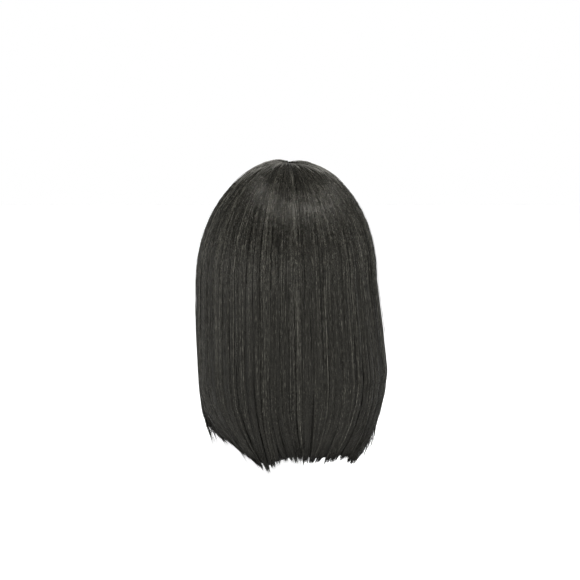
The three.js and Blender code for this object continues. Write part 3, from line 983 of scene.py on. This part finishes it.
def body_material(name, dark, light):
    """Hair deep under the surface, streaked along its length, in a dark colour that is painted shade."""
    material, graph, sockets = new_material(name)
    streaks = graph.noise((graph.attribute("round"), graph.attribute("along")), (2.6, 3), 6)
    graph.links.new(graph.ramp(streaks, [(0.3, dark), (0.7, light)]), sockets["Base Color"])
    graph.links.new(graph.bump(streaks, 0.8, 0.8 * MM), sockets["Normal"])
    sockets["Roughness"].default_value = 0.5
    sockets["Specular IOR Level"].default_value = DEPTH_SPECULAR
    return material


def net_material(name, thread, gap):
    """A fine knitted net with sewn rows."""
    material, graph, sockets = new_material(name)
    around, along = graph.attribute("round"), graph.attribute("along")
    ribs = graph.math("SINE", graph.math("MULTIPLY", around, 2.2))
    courses = graph.math("SINE", graph.math("MULTIPLY", along, 300))
    knit = graph.math("MULTIPLY", ribs, courses)
    sewn_rows = graph.math("SINE", graph.math("MULTIPLY", along, 75))
    seam = graph.math("GREATER_THAN", sewn_rows, 0.9)
    speckle = graph.noise((around, along), (9, 500), 3)
    raised = graph.math("ADD", graph.math("MULTIPLY", knit, 0.45), seam)
    raised = graph.math("ADD", raised, graph.math("MULTIPLY", speckle, 0.3))
    graph.links.new(graph.ramp(raised, [(0.1, gap), (0.9, thread)]), sockets["Base Color"])
    graph.links.new(graph.bump(raised, 0.7, 0.4 * MM), sockets["Normal"])
    sockets["Roughness"].default_value = 0.85
    sockets["Sheen Weight"].default_value = 0.2
    return material


def floor_material():
    material, _, sockets = new_material("pale_floor")
    sockets["Base Color"].default_value = (0.8, 0.8, 0.8, 1)
    sockets["Roughness"].default_value = 0.6
    sockets["Emission Color"].default_value = (1, 1, 1, 1)
    sockets["Emission Strength"].default_value = 0.75
    return material


# The wig

hair = hair_material(
    "hair",
    dark=(0.0015, 0.0014, 0.0011),
    middle=(0.009, 0.0086, 0.007),
    light=(0.085, 0.082, 0.069),
    roughness=0.23,
)
# Painted highlight: a lighter hair for glints on lifted hairs, rim light and a highlighted tress
painted_highlight_hair = hair_material(
    "painted_highlight_hair",
    dark=(0.012, 0.0115, 0.01),
    middle=(0.045, 0.044, 0.038),
    light=(0.16, 0.155, 0.14),
    roughness=0.3,
)
# Painted shade: the bodies under the strands are painted dark like shadowed hair
hair_depth_painted_shade = body_material("hair_depth_painted_shade", dark=(0.0015, 0.0015, 0.0012), light=(0.014, 0.0135, 0.0115))
net = net_material("cap_net", thread=(0.07, 0.066, 0.058), gap=(0.008, 0.0075, 0.007))

INNER_START = 96  # azimuth from which strands show on the inner face
ARCH_START = 82  # azimuth from which the hair parts over a shoulder
BACK, LEFT, RIGHT = "back_hair", "left_side_hair", "right_side_hair"

# Bodies: node, from azimuth, to azimuth
BODIES = [
    (BACK, -SIDE, SIDE),
    (LEFT, SIDE, FRONT),
    (RIGHT, -FRONT, -SIDE),
    ("left_front_hair", FRONT, FACE),
    ("right_front_hair", -FACE, -FRONT),
]
# Outer strands: name, node, from azimuth, to azimuth, count
OUTER = [
    ("back_hair_left_strands", BACK, 0, SIDE, 1850),
    ("back_hair_right_strands", BACK, -SIDE, 0, 1850),
    ("left_side_strands", LEFT, SIDE, FRONT, 1450),
    ("right_side_strands", RIGHT, -FRONT, -SIDE, 1450),
    ("left_front_strands", "left_front_hair", FRONT, FACE, 420),
    ("right_front_strands", "right_front_hair", -FACE, -FRONT, 420),
]
for node, low, high in BODIES:
    hair_body(node, low, high, hair_depth_painted_shade)
under_body(hair_depth_painted_shade)
cap_piece(net)
for name, node, low, high, count in OUTER:
    outer_strands(name, node, low, high, count, hair)
for side in (1, -1):
    front_edge_strands(side, 260, hair)
inner_strands("left_inner_strands", LEFT, INNER_START, FACE, 260, hair)
inner_strands("right_inner_strands", RIGHT, -FACE, -INNER_START, 260, hair)
under_strands("under_hair_left_strands", 0, FRONT, 560, hair)
under_strands("under_hair_right_strands", -FRONT, 0, 560, hair)
arch_strands("left_arch_strands", LEFT, ARCH_START, FRONT, 260, hair)
arch_strands("right_arch_strands", RIGHT, -FRONT, -ARCH_START, 220, hair)
# Painted highlights: a light tress, and lifted hairs painted light at the whorl and along the rims
highlight_tress("left_light_tress", LEFT, 67, 1.4, 12, painted_highlight_hair)
wisps("left_wisps", LEFT, 50, 92, 26, 12 * MM, hair)
wisps("right_wisps", RIGHT, -96, -58, 30, 12 * MM, hair)
wisps("back_wisps", BACK, -58, 48, 26, 7 * MM, hair)
painted_glint_hairs("whorl_hairs", BACK, -SIDE, SIDE, 110, 14, 0.012, 0.38, painted_highlight_hair)
painted_glint_hairs("left_rim_hairs", LEFT, 62, 95, 45, 16, 0.1, 0.3, painted_highlight_hair)
painted_glint_hairs("right_rim_hairs", RIGHT, -95, -SIDE, 45, 16, 0.12, 0.3, painted_highlight_hair)
flyaways("left_flyaways", LEFT, 0, FACE, 22, hair)
flyaways("right_flyaways", RIGHT, -FACE, 0, 22, hair)

# The floor, lights and camera

FLOOR_DROP, FLOOR_SIZE = 0.424, 12
TARGET = Vector((-0.0024, 0, -0.144))
CAMERA_DISTANCE = 1.35
CAMERA_ELEVATION = math.radians(8)
FRAME_WIDTH = 0.696  # what the photograph's frame spans at the target
SKY_EDGE, SKY_MIDDLE, SKY_TOP = (1, 1, 1), (0.3, 0.3, 0.3), (0.12, 0.12, 0.12)


def add_floor():
    bpy.ops.mesh.primitive_plane_add(size=FLOOR_SIZE, location=(0, 0, -FLOOR_DROP))
    floor = bpy.context.object
    floor.name = "floor"
    floor.data.materials.append(floor_material())


def add_light(name, place, aim, width, height, power):
    data = bpy.data.lights.new(name, "AREA")
    data.shape = "ELLIPSE"
    data.size = width
    data.size_y = height
    data.energy = power
    light = bpy.data.objects.new(name, data)
    light.location = place
    light.rotation_euler = (Vector(aim) - Vector(place)).to_track_quat("-Z", "Y").to_euler()
    bpy.context.scene.collection.objects.link(light)


def add_world():
    """A white studio, bright round the horizon and at the height of the lamps, and dim overhead."""
    world = bpy.data.worlds.new("studio")
    graph = Graph(world)
    direction = graph.nodes.new("ShaderNodeTexCoord")
    split = graph.nodes.new("ShaderNodeSeparateXYZ")
    graph.links.new(direction.outputs["Generated"], split.inputs[0])
    colour = graph.ramp(split.outputs["Z"], [(0.12, SKY_EDGE), (0.4, SKY_MIDDLE), (0.95, SKY_TOP)])
    graph.links.new(colour, graph.nodes["Background"].inputs["Color"])
    bpy.context.scene.world = world


def add_camera():
    data = bpy.data.cameras.new("camera")
    data.sensor_width = 36
    data.lens = data.sensor_width * CAMERA_DISTANCE / FRAME_WIDTH
    camera = bpy.data.objects.new("camera", data)
    back = Vector((0, math.cos(CAMERA_ELEVATION), math.sin(CAMERA_ELEVATION)))
    camera.location = TARGET + CAMERA_DISTANCE * back
    camera.rotation_euler = (-back).to_track_quat("-Z", "Y").to_euler()
    bpy.context.scene.collection.objects.link(camera)
    bpy.context.scene.camera = camera


add_floor()
add_light("key", place=(-0.52, 1.0, 1.33), aim=(0, 0, -0.05), width=0.4, height=0.3, power=52)
add_light("front", place=(0.4, 1.5, 0.0), aim=(0, 0, -0.14), width=1.6, height=0.35, power=14)
add_light("fill", place=(1.3, 0.35, -0.15), aim=(0, 0, -0.15), width=0.7, height=0.7, power=4)
add_world()
add_camera()
bpy.context.scene.view_settings.view_transform = "Standard"
